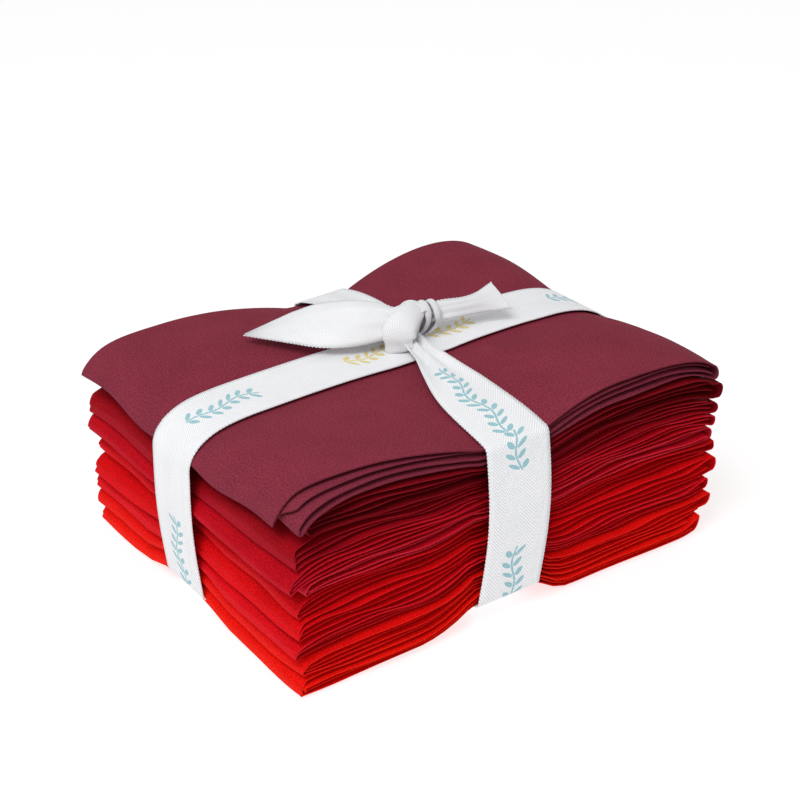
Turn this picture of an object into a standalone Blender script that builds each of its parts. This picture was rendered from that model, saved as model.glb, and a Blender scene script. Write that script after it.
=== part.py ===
"""Ten fat quarters of cotton, folded, piled, and tied both ways with one length of tape.

Metres, +Z up. The origin is under the middle of the bundle, on the surface that it rests on.
X runs across the rounded folds and Y along them, so the ends of the layers show at both Y ends.
Levels run from 0, the underside of the pile, to 1, its upper side.
"""
import math

import bmesh
import bpy
from mathutils import Matrix

MM = 0.001

# The pile
LENGTH = 186 * MM
DEPTH = 152 * MM
HALF_LENGTH = LENGTH / 2
HALF_DEPTH = DEPTH / 2
CROWN = 77.6 * MM                 # height of the four puffs between the tapes
CROWN_RISE_X, CROWN_FALL_Y = 1.4 * MM, 0.2 * MM     # at the right end and behind
FRONT_DROOP, BACK_DROOP, EDGE_SHARPNESS = 1.4 * MM, 0.8 * MM, 6
LEFT_DROOP, LEFT_SHARPNESS = 8.2 * MM, 12
RIGHT_DROOP, RIGHT_SHARPNESS = 7.4 * MM, 9
RIGHT_CURL, CURL_START = 1.2 * MM, 80 * MM          # the underside curls up near the right end

# The tape
TAPE_WIDTH = 27 * MM
TAPE_THICK = 1.0 * MM
TAPE_LIFT = 1.2 * MM              # from the cloth to the middle of the tape's thickness
TAPE_HALF_BED = 13.5 * MM         # the cloth is pressed flat this far to each side of the tape's middle
ALONG_Y = 3 * MM                  # middle of the tape that runs along X
ACROSS_COURSE = ((-76, 0.8), (-50, 0.4), (-12, 5.4), (18, 10.2), (50, 12.0), (76, 12.5))   # mm: y, x on top
ACROSS_UNDER_X = 6 * MM           # underneath, it runs from this far left in front to this far right behind
SIDE_BOW, FRONT_BOW = (1.3 * MM, 0), (2.2 * MM, 0.7 * MM)     # mm in x and y: the tape bows between its bends
BOW_STEPS = 4

# How deep the tape presses in, and how far beside it the cloth falls toward it
ALONG_PRESS, ALONG_PRESS_END = 3.4 * MM, 1.6 * MM
ACROSS_PRESS, FRONT_PRESS_END, BACK_PRESS_END = 2.6 * MM, 5.6 * MM, 7.4 * MM
ALONG_FADE, LEFT_FADE, RIGHT_FRONT_FADE, RIGHT_BACK_FADE = 42 * MM, 56 * MM, 32 * MM, 48 * MM
UNDER_PRESS, UNDER_END_X, UNDER_END_Y = 3.0 * MM, 2.6 * MM, 5.4 * MM
UNDER_FADE, UNDER_RIGHT_FADE = 26 * MM, 17 * MM
LIP_PINCH, END_PINCH, END_PINCH_MIDDLE = 0.3 * MM, 0.8 * MM, 1.2 * MM

# The folding of one fat quarter
PLIES = 4
PLY_GAP = 0.0066                  # in levels, about 0.5 mm
PLY_THICK = 1.2 * MM              # measured level, at the folds
NEST_SETBACK = 0.7 * MM           # an inner fold stands this far inside the wide one round it
OUTER_EDGE_SETBACK, INNER_EDGE_SETBACK = 3.2 * MM, 1.2 * MM
RIGHT_FLARE, FLARE_START = 0.88, 0.4 * MM    # past the outer free edge, the right fold opens up toward it
LOBE_BLUNTNESS = 0.62             # of the folds at the right, where 1 is a half circle
FOLD_STEPS, HAIRPIN_STEPS = 5, 3

# The order in which the layers lie, from the inner free edge to the outer one, in layers from the middle
WRAPPED, TURNED, COVERED = (-0.5, 0.5, -1.5, 1.5), (0.5, -0.5, 1.5, -1.5), (-0.5, -1.5, 1.5, 0.5)
TUCK = 9 * MM                     # how far the lower of two left folds is tucked in under the upper one

# Places of the sections: fixed ones, and ones that follow the tape
FIXED_LEFT = (-80 * MM, -50 * MM)
FIXED_RIGHT = (55 * MM, 80 * MM)
BED_STATIONS = (-30 * MM, -14.5 * MM, 14.5 * MM, 30 * MM)
DEPTH_STATIONS = (-HALF_DEPTH, -60 * MM, -36 * MM, -12 * MM, 18 * MM, 44 * MM, HALF_DEPTH)

# Lowest first. Heights and reaches past the nominal outline in mm, skew in mm over half the depth, how far the
# tip of the left fold hangs as a share of half its height, the order of the layers, and the colour.
COLUMNS = ("height", "left", "right", "front", "back", "skew", "sag", "order", "colour")
FAT_QUARTERS = (
    (7.4, 0.6, -1.6, 2.6, 0.3, 0.0, 0.45, WRAPPED, (0.79, 0.007, 0.001)),
    (7.4, 0.2, 0.2, 1.8, -0.4, -0.4, 0.5, TURNED, (0.76, 0.005, 0.002)),
    (7.0, 0.9, 0.4, 0.4, 0.5, 0.5, 0.3, WRAPPED, (0.63, 0.002, 0.008)),
    (9.0, 0.4, 2.2, 0.6, -0.2, -0.5, 0.4, WRAPPED, (0.63, 0.002, 0.004)),
    (7.2, -1.8, 3.3, -0.5, 0.4, 0.6, 0.2, TURNED, (0.56, 0.001, 0.004)),
    (6.0, -3.6, 0.3, 0.3, -0.5, -0.3, 0.4, WRAPPED, (0.53, 0.004, 0.021)),
    (6.0, 1.9, 2.2, 0.0, 0.4, 0.4, 0.3, TURNED, (0.45, 0.001, 0.010)),
    (6.2, -1.2, 3.3, -0.6, -0.3, -0.6, 0.4, WRAPPED, (0.30, 0.002, 0.010)),
    (10.2, -1.4, 5.0, 0.5, 0.5, -1.0, 0.3, WRAPPED, (0.24, 0.002, 0.008)),
    (7.6, 1.4, 2.2, 0.4, -0.3, 0.0, 0.2, COVERED, (0.212, 0.026, 0.047)),
)
CLOTH_ROUGHNESS = 0.85
SHARP_ANGLE = math.radians(50)
TAPE_COLOUR = (0.84, 0.85, 0.86)

# The upper layers of the top cloth draw back toward its front left corner, and so does the cloth below it
TOP_SETBACK, SECOND_SETBACK, BELOW_SETBACK = 8.6 * MM, 2.4 * MM, 4.5 * MM
SETBACK_START = 15 * MM
SETBACK_BEND, BELOW_BEND = 0.8, 1.5  # how the setbacks grow toward the corner, and up through the cloth below

# The knot: rounded wraps, each a lump with its middle, half sizes and turn about Z
KNOT_COLUMNS = ("x", "y", "rise", "half_x", "half_y", "half_z", "turn")
KNOT_WRAPS = (
    (6.6, 1.2, 6.4, 5.6, 9.6, 7.4, -62),
    (13.2, 6.8, 6.0, 4.6, 7.2, 6.8, -46),
    (18.2, 6.2, 6.2, 3.8, 7.0, 7.0, -34),
    (22.4, 4.0, 6.0, 3.4, 6.4, 6.5, -28),
)
WRAP_SIDES, WRAP_RINGS = 12, 7

# The tails: front edge and back edge at each row, in mm, z above the tape under the knot
TAIL_COLUMNS = ("front_x", "front_y", "front_rise", "back_x", "back_y", "back_rise")
LEFT_TAIL = (
    (8.0, 1.0, 5.5, 9.0, 6.0, 11.6),
    (-3.5, 2.6, 4.4, 2.2, 14.0, 14.4),
    (-14.3, 6.0, 3.8, -4.7, 21.0, 14.8),
    (-24.0, 12.6, 3.8, -12.6, 31.1, 12.2),
    (-32.5, 24.0, 4.2, -22.2, 35.6, 9.6),
    (-42.6, 37.8, 4.9, -41.0, 38.8, 5.5),
)
RIGHT_TAIL = (
    (12.6, 0.9, 6.3, 13.7, 4.4, 10.3),
    (23.0, -3.4, 5.6, 25.5, 7.0, 10.6),
    (33.0, -5.0, 4.8, 36.5, 7.0, 9.4),
    (42.5, -7.4, 5.0, 45.0, 6.8, 9.6),
    (50.5, -8.4, 6.5, 50.6, 6.2, 12.6),
)

KNOT_X, KNOT_Y = 10 * MM, 2 * MM
BEND_STEPS = 3
BEND_INSET, BEND_RADIUS = 1.6 * MM, 3.4 * MM   # the tape's bend over the ends of the layers
CROSSING_DROP = 0.45 * MM         # underneath, the tape that runs across passes below the other one

# The tape that runs across, on top: y, width and lift above the cloth in mm. It is gathered into the knot.
ACROSS_GATHER = ((-60, 27, 1.2), (-36, 22, 1.4), (-12, 12.5, 4.6), (2, 10, 6.0), (18, 12, 5.0), (44, 17, 1.8))
BACK_WIDTH = 21 * MM              # it stays narrower behind
FULLEST = 2.2                     # the gathered tape is at most this many times as thick as the flat one


def clear_objects():
    for item in list(bpy.data.objects):
        bpy.data.objects.remove(item, do_unlink=True)


def named_rows(columns, rows):
    return [dict(zip(columns, row)) for row in rows]


def clamp(value, low, high):
    return min(max(value, low), high)


def between(table, at):
    """Straight-line value of a two-column table in mm, in metres."""
    at = at / MM
    if at <= table[0][0]:
        return table[0][1] * MM
    for (low, start), (high, end) in zip(table, table[1:]):
        if at <= high:
            return (start + (end - start) * (at - low) / (high - low)) * MM
    return table[-1][1] * MM


def bed(distance, left_fade, right_fade):
    """1 under the tape, then falling to 0 as the side of a dome does, steepest at the tape's edge."""
    fade = left_fade if distance < 0 else right_fade
    share = clamp((abs(distance) - TAPE_HALF_BED) / fade, 0, 1)
    return (1 - share) ** 2


def across_x(y, level):
    """Middle of the tape that runs across, at a depth y and a level of the pile."""
    under = ACROSS_UNDER_X * clamp(y / HALF_DEPTH, -1, 1)
    return under + (between(ACROSS_COURSE, y) - under) * clamp(level, 0, 1)


def upper_side(x, y):
    """Height of the pile's upper side: four puffs that droop at their ends, with the tapes' troughs between."""
    out_x, out_y = x / HALF_LENGTH, y / HALF_DEPTH
    puff = CROWN + CROWN_RISE_X * max(out_x, 0) - CROWN_FALL_Y * out_y
    if x < 0:
        droop = LEFT_DROOP * abs(out_x) ** LEFT_SHARPNESS
    else:
        droop = RIGHT_DROOP * out_x ** RIGHT_SHARPNESS
    droop += (FRONT_DROOP if y < 0 else BACK_DROOP) * abs(out_y) ** EDGE_SHARPNESS
    press_end = FRONT_PRESS_END if y < 0 else BACK_PRESS_END
    right_fade = RIGHT_FRONT_FADE + (RIGHT_BACK_FADE - RIGHT_FRONT_FADE) * clamp(0.5 + 0.5 * out_y, 0, 1)
    along = (ALONG_PRESS + ALONG_PRESS_END * out_x ** 2) * bed(y - ALONG_Y, ALONG_FADE, ALONG_FADE)
    across = (ACROSS_PRESS + press_end * abs(out_y) ** 3) * bed(x - across_x(y, 1), LEFT_FADE, right_fade)
    return puff - droop - math.hypot(along, across)


def under_side(x, y):
    """Height of the pile's underside: flat, but for the tapes' troughs and the lifted right end."""
    out_x, out_y = abs(x) / HALF_LENGTH, abs(y) / HALF_DEPTH
    curl = RIGHT_CURL * max(0.0, (x - CURL_START) / (HALF_LENGTH - CURL_START)) ** 2
    along = (UNDER_PRESS + UNDER_END_X * out_x ** 6) * bed(y - ALONG_Y, UNDER_FADE, UNDER_FADE)
    across = (UNDER_PRESS + UNDER_END_Y * out_y ** 4) * bed(x - across_x(y, 0), UNDER_FADE, UNDER_RIGHT_FADE)
    return (curl ** 4 + along ** 4 + across ** 4) ** 0.25


def section_places(y, level):
    """Where the sections' points stand along X, at a depth and a level."""
    beds = [across_x(y, level) + offset for offset in BED_STATIONS]
    return [-HALF_LENGTH, *FIXED_LEFT, *beds, *FIXED_RIGHT, HALF_LENGTH]


def cell(places, at):
    """The interval of a list of places that holds a value or lies nearest, and the share of the way along."""
    index = 0
    while index < len(places) - 2 and at > places[index + 1]:
        index += 1
    return index, (at - places[index]) / (places[index + 1] - places[index])


def height(x, y, level):
    """Height of a level of the pile, straight from one section to the next so that all layers run alike."""
    row, share_y = cell(DEPTH_STATIONS, y)
    column, share_x = cell(section_places(y, level), x)
    total = 0.0
    for station, weight_y in ((DEPTH_STATIONS[row], 1 - share_y), (DEPTH_STATIONS[row + 1], share_y)):
        places = section_places(station, level)
        for place, weight_x in ((places[column], 1 - share_x), (places[column + 1], share_x)):
            low = under_side(place, station)
            total += weight_y * weight_x * (low + level * (upper_side(place, station) - low))
    return total


def end_x(piece, middle, side, y):
    """Where the fold at an X end of a fat quarter has its crest, at a depth.

    The tape draws in those that would stand out past a line from the lowest one's crest to the top one's.
    """
    end = "left" if side < 0 else "right"
    reach, lowest, highest = (item[end] * MM for item in (piece, PIECES[0], PIECES[-1]))
    pinch = max(LIP_PINCH, reach - (lowest + (highest - lowest) * middle))
    return side * (HALF_LENGTH + reach - pinch * bed(y - ALONG_Y, ALONG_FADE, ALONG_FADE)) + (
        piece["skew"] * MM * y / HALF_DEPTH)


def end_y(sign, x, level, reach):
    """Depth at which a layer ends, in front (sign -1) or behind (sign 1)."""
    drawn = END_PINCH + END_PINCH_MIDDLE * math.sin(math.pi * clamp(level, 0, 1))
    from_tape = x - across_x(sign * HALF_DEPTH, level)
    return sign * (HALF_DEPTH + reach - drawn * bed(from_tape, UNDER_FADE, UNDER_FADE))


def turn(x, levels, travel, reach, half, steps, sag=0.0, bluntness=1.0):
    """Pairs of points round a fold from one layer's level to the next, without its two ends."""
    start, end = levels
    centre, span = (start + end) / 2, (start - end) / 2
    outward = math.copysign(half, span)
    turns_left = travel * (end - start) > 0
    pairs = []
    for step in range(1, steps):
        angle = math.pi * step / steps
        out = math.sin(angle) ** bluntness
        hang = abs(span) * sag * math.sin(angle)
        outer_level = max(centre + (span + outward) * math.cos(angle) - hang, centre - abs(span) - half)
        inner_level = max(centre + (span - outward) * math.cos(angle) - hang, centre - abs(span) + half)
        outer = (x + travel * reach * out, outer_level)
        inner = (x + travel * (reach - PLY_THICK) * out, inner_level)
        pairs.append((inner, outer) if turns_left else (outer, inner))
    return pairs


def run(places, levels, half):
    """Pairs of points along one layer: left-hand and right-hand face, as it is travelled."""
    travel = 1 if places[-1] > places[0] else -1
    return [((x, level + travel * half), (x, level - travel * half)) for x, level in zip(places, levels)]


def setback(piece, layer, share):
    """How far a layer draws back at the front left corner, at a share of the fat quarter's height."""
    if piece is PIECES[-1]:
        return (0.0, 0.0, TOP_SETBACK, SECOND_SETBACK)[layer]
    if piece is PIECES[-2]:
        return BELOW_SETBACK * clamp(share, 0, 1) ** BELOW_BEND
    return 0.0


def folded_section(piece, low, high, y):
    """The section of a fat quarter at a depth y, as pairs of (x, level) on its two faces, from the inner free edge
    to the outer one, both at the right, and for each pair how far it draws back at the front left corner.
    """
    middle, pitch = (low + high) / 2, (high - low) / PLIES
    half = (pitch - PLY_GAP) / 2
    own = [middle + pitch * place for place in piece["order"]]
    covered = piece["order"] is COVERED
    flared = own[1] if covered else own[1] + RIGHT_FLARE * (own[3] - own[1])
    reaches = [(abs(one - other) * CROWN + PLY_THICK) / 2
               for one, other in (own[0:2], (flared, own[2]), own[2:4])]
    inner_reach, right_reach, left_reach = reaches
    left, right = end_x(piece, middle, -1, y), end_x(piece, middle, 1, y)
    tip, bend = left + left_reach, right - right_reach
    nest = left + (inner_reach + TUCK if covered else left_reach + NEST_SETBACK)
    outer_edge = bend - (INNER_EDGE_SETBACK if covered else OUTER_EDGE_SETBACK)
    inner = section_places(y, middle)[1:-1]
    out = [nest, *inner, outer_edge + FLARE_START, bend]
    layers = [run([bend - INNER_EDGE_SETBACK, *inner[::-1], nest], [own[0]] * (len(inner) + 2), half)
              + turn(nest, own[0:2], -1, inner_reach, half, HAIRPIN_STEPS),
              run(out, [own[1]] * (len(out) - 1) + [flared], half)
              + turn(bend, (flared, own[2]), 1, right_reach, half, FOLD_STEPS, bluntness=LOBE_BLUNTNESS),
              run([bend, *inner[::-1], tip], [own[2]] * (len(inner) + 2), half)
              + turn(tip, own[2:4], -1, left_reach, half, FOLD_STEPS, sag=piece["sag"]),
              run([tip, *inner, outer_edge], [own[3]] * (len(inner) + 2), half)]
    pairs = []
    for layer, stations in enumerate(layers):
        for one, other in stations:
            share = ((one[1] + other[1]) / 2 - low) / (high - low)
            pairs.append((one, other, setback(piece, layer, share)))
    return pairs


def material(name, colour, roughness):
    made = bpy.data.materials.new(name)
    made.use_nodes = True
    shader = made.node_tree.nodes["Principled BSDF"]
    shader.inputs["Base Color"].default_value = (*colour, 1)
    shader.inputs["Roughness"].default_value = roughness
    shader.inputs["Metallic"].default_value = 0
    return made


def add_object(name, points, faces, colour):
    mesh = bpy.data.meshes.new(name)
    work = bmesh.new()
    corners = [work.verts.new(point) for point in points]
    for face in faces:
        work.faces.new([corners[index] for index in face])
    bmesh.ops.recalc_face_normals(work, faces=work.faces)
    work.to_mesh(mesh)
    work.free()
    mesh.shade_smooth()
    mesh.set_sharp_from_angle(angle=SHARP_ANGLE)
    made = bpy.data.objects.new(name, mesh)
    made.data.materials.append(material(name, colour, CLOTH_ROUGHNESS))
    bpy.context.scene.collection.objects.link(made)
    return made


def fat_quarter(name, piece, low, high):
    """One folded fat quarter, its sections joined from front to back.

    Every layer is parted into triangles the same way, so that neighbours keep their distance.
    """
    points, ring = [], 0
    for station in DEPTH_STATIONS:
        pairs = folded_section(piece, low, high, station)
        around = [(*left, drawn) for left, _, drawn in pairs]
        around += [(*right, drawn) for _, right, drawn in reversed(pairs)]
        ring = len(around)
        for x, level, drawn in around:
            y = station
            if station == DEPTH_STATIONS[0]:
                toward_corner = clamp((-x - SETBACK_START) / (HALF_LENGTH - SETBACK_START), 0, 1)
                y = end_y(-1, x, level, piece["front"] * MM) + drawn * toward_corner ** SETBACK_BEND
            elif station == DEPTH_STATIONS[-1]:
                y = end_y(1, x, level, piece["back"] * MM)
            points.append((x, y, height(x, y, level)))
    faces = []
    for row in range(len(DEPTH_STATIONS) - 1):
        here, there = row * ring, (row + 1) * ring
        for index in range(ring):
            after = (index + 1) % ring
            a, b, c, d = here + index, here + after, there + after, there + index
            if points[a][0] <= points[b][0]:
                faces += [(a, b, c), (a, c, d)]
            else:
                faces += [(b, c, d), (b, d, a)]
    last = (len(DEPTH_STATIONS) - 1) * ring
    for start in (0, last):
        for index in range(ring // 2 - 1):
            across = ring - 1 - index
            faces.append((start + index, start + index + 1, start + across - 1, start + across))
    return add_object(name, points, faces, piece["colour"])


def band(name, rows, closed):
    """A flat band from rows of (edge, edge, half thickness), closed to a loop or cut off at both ends."""
    count = len(rows)
    points = []
    for index, (first, second, half) in enumerate(rows):
        before = rows[(index - 1) % count] if closed or index > 0 else rows[index]
        after = rows[(index + 1) % count] if closed or index < count - 1 else rows[index]
        for corner, edge in enumerate((first, second)):
            ahead = [a - b for a, b in zip(after[corner], before[corner])]
            width = [b - a for a, b in zip(first, second)]
            normal = [ahead[1] * width[2] - ahead[2] * width[1],
                      ahead[2] * width[0] - ahead[0] * width[2],
                      ahead[0] * width[1] - ahead[1] * width[0]]
            size = math.sqrt(sum(value * value for value in normal))
            offset = [half * value / size for value in normal]
            points.append(tuple(a + b for a, b in zip(edge, offset)))
            points.append(tuple(a - b for a, b in zip(edge, offset)))
    faces = []
    order = (0, 2, 3, 1)
    for index in range(count if closed else count - 1):
        here, there = 4 * index, 4 * ((index + 1) % count)
        for corner in range(4):
            a, b = order[corner], order[(corner + 1) % 4]
            faces.append((here + a, here + b, there + b, there + a))
    if not closed:
        for start in (0, 4 * (count - 1)):
            faces.append(tuple(start + corner for corner in order))
    return add_object(name, points, faces, TAPE_COLOUR)


def bowed(start, end, bow):
    """Points between two bends of the tape, bowed outward, without the two ends."""
    points = []
    for step in range(1, BOW_STEPS):
        t = step / BOW_STEPS
        x, y, z = (a + (b - a) * t for a, b in zip(start, end))
        out = math.sin(math.pi * t)
        points.append((x + bow[0] * out, y + bow[1] * out, z))
    return points


def side_bend(side, under, y):
    """The tape's bend over the fold at one X end of the top fat quarter, or of the lowest, from above down."""
    index = 0 if under else -1
    low, high = SPANS[index]
    middle, half, reach = (low + high) / 2, (high - low) / 2, (high - low) * CROWN / PLIES
    x = end_x(PIECES[index], middle, side, y) - side * reach
    start = math.pi / 2 if under else 0
    bend = []
    for step in range(BEND_STEPS + 1):
        angle = start + math.pi / 2 * step / BEND_STEPS
        place = x + side * (reach + TAPE_LIFT) * math.sin(angle)
        bend.append((place, y, height(place, y, middle + (half + TAPE_LIFT / CROWN) * math.cos(angle))))
    return bend


def along_edge(offset):
    """One edge of the tape round the pile along X, as points, offset in Y from the tape's middle."""
    y = ALONG_Y + offset
    lift = TAPE_LIFT / CROWN
    left_top, right_top = side_bend(-1, False, y), side_bend(1, False, y)
    left_under, right_under = side_bend(-1, True, y), side_bend(1, True, y)
    top = [(x, y, height(x, y, 1 + lift)) for x in section_places(y, 1)[1:-1]]
    under = [(x, y, height(x, y, -lift)) for x in section_places(y, 0)[-2:0:-1]]
    left_bow = tuple(-part for part in SIDE_BOW)
    course = top + right_top + bowed(right_top[-1], right_under[0], SIDE_BOW) + right_under
    course += under + left_under[::-1] + bowed(left_under[0], left_top[-1], left_bow) + left_top[::-1]
    return course


def end_bend(side, x, level):
    """Quarter bend of the tape over the ends of the layers, from the pile's upper side or underside."""
    piece = PIECES[-1 if level == 1 else 0]
    face = end_y(side, x, level, piece["front" if side < 0 else "back"] * MM)
    inward = -1 if level == 1 else 1
    middle_y = face - side * BEND_INSET
    middle_z = height(x, face, level) + inward * BEND_INSET
    bend = []
    for step in range(BEND_STEPS + 1):
        angle = math.pi / 2 * step / BEND_STEPS
        bend.append((x, middle_y + side * BEND_RADIUS * math.sin(angle),
                     middle_z - inward * BEND_RADIUS * math.cos(angle)))
    return bend


def across_edge(side):
    """One edge of the tape round the pile along Y, where side is -1 or 1: points and half thicknesses."""
    full = side * TAPE_WIDTH / 2
    top = []
    for y, width, lift in ACROSS_GATHER:
        x = across_x(y * MM, 1) + side * width * MM / 2
        gathered = TAPE_THICK * min(FULLEST, TAPE_WIDTH / MM / width) / 2
        top.append(((x, y * MM, height(x, y * MM, 1) + lift * MM), gathered))
    under = []
    for y in DEPTH_STATIONS[-2:0:-1]:
        x = across_x(y, 0) + full
        under.append((x, y, height(x, y, 0) - TAPE_LIFT - CROSSING_DROP))
    back_top = end_bend(1, across_x(HALF_DEPTH, 1) + side * BACK_WIDTH / 2, 1)
    back_under = end_bend(1, across_x(HALF_DEPTH, 0) + full, 0)
    front_top = end_bend(-1, across_x(-HALF_DEPTH, 1) + full, 1)
    front_under = end_bend(-1, across_x(-HALF_DEPTH, 0) + full, 0)
    course = back_top + bowed(back_top[-1], back_under[-1], (0, FRONT_BOW[1])) + back_under[::-1] + under
    front_bow = (FRONT_BOW[0], -FRONT_BOW[1])
    course += front_under + bowed(front_under[-1], front_top[-1], front_bow) + front_top[::-1]
    return top + [(point, TAPE_THICK / 2) for point in course]


def wrap(name, piece, base):
    """One rounded wrap of the knot."""
    mesh = bpy.data.meshes.new(name)
    work = bmesh.new()
    bmesh.ops.create_uvsphere(work, u_segments=WRAP_SIDES, v_segments=WRAP_RINGS, radius=1)
    turned = math.radians(piece["turn"])
    for corner in work.verts:
        x, y, z = (corner.co[axis] * piece[half] for axis, half in enumerate(("half_x", "half_y", "half_z")))
        corner.co = ((piece["x"] + x * math.cos(turned) - y * math.sin(turned)) * MM,
                     (piece["y"] + x * math.sin(turned) + y * math.cos(turned)) * MM,
                     base + (piece["rise"] + z) * MM)
    work.to_mesh(mesh)
    work.free()
    made = bpy.data.objects.new(name, mesh)
    bpy.context.scene.collection.objects.link(made)
    return made


def tail(name, rows, base):
    """A free tail of the tape."""
    edges = []
    for row in named_rows(TAIL_COLUMNS, rows):
        front = (row["front_x"] * MM, row["front_y"] * MM, base + row["front_rise"] * MM)
        back = (row["back_x"] * MM, row["back_y"] * MM, base + row["back_rise"] * MM)
        edges.append((front, back, TAPE_THICK / 2))
    return band(name, edges, closed=False)


def tape():
    """The whole tape: round the pile both ways, knotted on top, with two tails, joined to one solid."""
    half_width = TAPE_WIDTH / 2
    first, second = along_edge(-half_width), along_edge(half_width)
    whole = band("tape", [(a, b, TAPE_THICK / 2) for a, b in zip(first, second)], closed=True)
    first, second = across_edge(-1), across_edge(1)
    parts = [band("tape_across", [(a, b, half) for (a, half), (b, _) in zip(first, second)], closed=True)]
    base = upper_side(KNOT_X, KNOT_Y) + TAPE_LIFT + TAPE_THICK / 2
    parts.append(tail("tape_right_tail", RIGHT_TAIL, base))
    parts.append(tail("tape_left_tail", LEFT_TAIL, base))
    for number, row in enumerate(named_rows(KNOT_COLUMNS, KNOT_WRAPS), 1):
        parts.append(wrap(f"tape_wrap_{number}", row, base))
    for part in parts:
        part.hide_render = True
        part.display_type = "WIRE"
        joined = whole.modifiers.new(part.name, "BOOLEAN")
        joined.operation = "UNION"
        joined.solver = "EXACT"
        joined.object = part
    return [whole, *parts]


def centre(objects):
    """Bring the middle of the bundle's box over the origin."""
    corners = [corner.co for item in objects for corner in item.data.vertices]
    shift_x = -(min(c.x for c in corners) + max(c.x for c in corners)) / 2
    shift_y = -(min(c.y for c in corners) + max(c.y for c in corners)) / 2
    for item in objects:
        item.data.transform(Matrix.Translation((shift_x, shift_y, 0)))
        item.data.update()


clear_objects()
PIECES = named_rows(COLUMNS, FAT_QUARTERS)
TOTAL = sum(piece["height"] for piece in PIECES)
SPANS = []
for piece in PIECES:
    start = SPANS[-1][1] if SPANS else -PLY_GAP / 2
    SPANS.append((start, start + piece["height"] / TOTAL))
EVERYTHING = [fat_quarter(f"fat_quarter_{number:02d}", piece, *span)
              for number, (piece, span) in enumerate(zip(PIECES, SPANS), 1)]
EVERYTHING += tape()
centre(EVERYTHING)
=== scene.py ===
import math

import bpy
import numpy as np
from mathutils import Matrix, Vector


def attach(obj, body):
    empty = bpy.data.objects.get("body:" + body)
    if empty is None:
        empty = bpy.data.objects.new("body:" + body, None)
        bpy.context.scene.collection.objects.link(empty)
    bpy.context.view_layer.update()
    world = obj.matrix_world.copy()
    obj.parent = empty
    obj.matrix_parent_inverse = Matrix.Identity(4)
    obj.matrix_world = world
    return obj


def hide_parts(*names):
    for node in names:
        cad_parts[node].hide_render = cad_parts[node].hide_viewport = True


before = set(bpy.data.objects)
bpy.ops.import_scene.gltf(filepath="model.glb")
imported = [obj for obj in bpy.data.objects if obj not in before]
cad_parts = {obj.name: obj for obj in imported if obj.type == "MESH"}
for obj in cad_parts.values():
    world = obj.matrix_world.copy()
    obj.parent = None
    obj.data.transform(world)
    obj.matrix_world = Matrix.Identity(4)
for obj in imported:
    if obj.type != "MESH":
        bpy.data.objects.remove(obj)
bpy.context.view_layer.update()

# --------------------------------------------------------------------------------------------------
# The ten fat quarters. Each is one cut of plain-woven quilting cotton, folded in pairs of layers: the
# pairs meet in a rounded fold in front, wide folds wrap hairpins at the left, and the cut edges are
# behind and at the right. They lie loose, by colour, and the tape presses troughs into the pile.
# --------------------------------------------------------------------------------------------------
MM = 0.001
HALF_LENGTH, HALF_DEPTH = 93 * MM, 76 * MM
CROWN = 77.6 * MM    # height of the four puffs between the tapes
CROWN_RISE_X, CROWN_FALL_Y = 1.4 * MM, 0.2 * MM    # at the right end and behind
FRONT_DROOP, BACK_DROOP, EDGE_SHARPNESS = 1.4 * MM, 0.8 * MM, 6
LEFT_DROOP, LEFT_SHARPNESS = 8.2 * MM, 12
RIGHT_DROOP, RIGHT_SHARPNESS, RIGHT_BEYOND = 7.8 * MM, 9, 4
RIGHT_CURL, CURL_START = 4.4 * MM, 76 * MM

TAPE_HALF_BED = 13.5 * MM    # half the width of the troughs under the tape
ALONG_Y = 3 * MM    # the middle of the tape that runs along the pile
# The middle of the tape that runs across, on top: y and x in mm
ACROSS_COURSE = ((-76, 0.8), (-50, 0.4), (-12, 5.4), (18, 10.2), (50, 12.0), (76, 12.5))
ACROSS_UNDER_X = 6 * MM
ALONG_PRESS, ALONG_PRESS_END = 3.4 * MM, 1.6 * MM
ACROSS_PRESS, FRONT_PRESS_END, BACK_PRESS_END, PRESS_POWER = 2.6 * MM, 5.6 * MM, 7.4 * MM, 3
ALONG_FADE, LEFT_FADE, RIGHT_FRONT_FADE, RIGHT_BACK_FADE = 42 * MM, 56 * MM, 32 * MM, 48 * MM
UNDER_PRESS, UNDER_END_X, UNDER_END_Y = 3.0 * MM, 2.6 * MM, 5.4 * MM
UNDER_POWER_X, UNDER_POWER_Y, JOIN_POWER = 6, 4, 4    # toward the ends, and where two troughs join
UNDER_FADE, UNDER_RIGHT_FADE = 26 * MM, 17 * MM
# How far the tapes draw the ends in: at the sides, in front and behind, and more there at half height
LIP_PINCH, END_PINCH, END_PINCH_MIDDLE = 0.3 * MM, 0.8 * MM, 1.2 * MM
# How the tape presses the right folds in: its own bow, how far to its sides, and the room under it
RIGHT_BOW, RIGHT_GIVE, TAPE_ROOM = 3.6 * MM, 34 * MM, 1.0 * MM

PLIES = 4
PLY_GAP = 0.0066    # share of the pile's height
PLY_THICK = 1.2 * MM
CLOTH_THICK = 0.32 * MM
CENTRE = np.array((-1.08, 0.95, 0)) * MM    # brings the middle of the bundle over the origin
NEST_SHARE = 0.6    # how far an inner fold fills the wide one round it
OUTER_EDGE_SETBACK, INNER_EDGE_SETBACK = 3.2 * MM, 1.2 * MM
LIP_PRESS, RIGHT_FLARE = 0.07, 0.92    # how the pairs close up at the left and spread at the right
FOLD_REACH, STATION_BUNCH = 0.075, 0.1    # shares of a pair's length
FOLD_DEPTH = 0.8 * MM    # of the rounded crease in which a pair of layers meets in front
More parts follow.
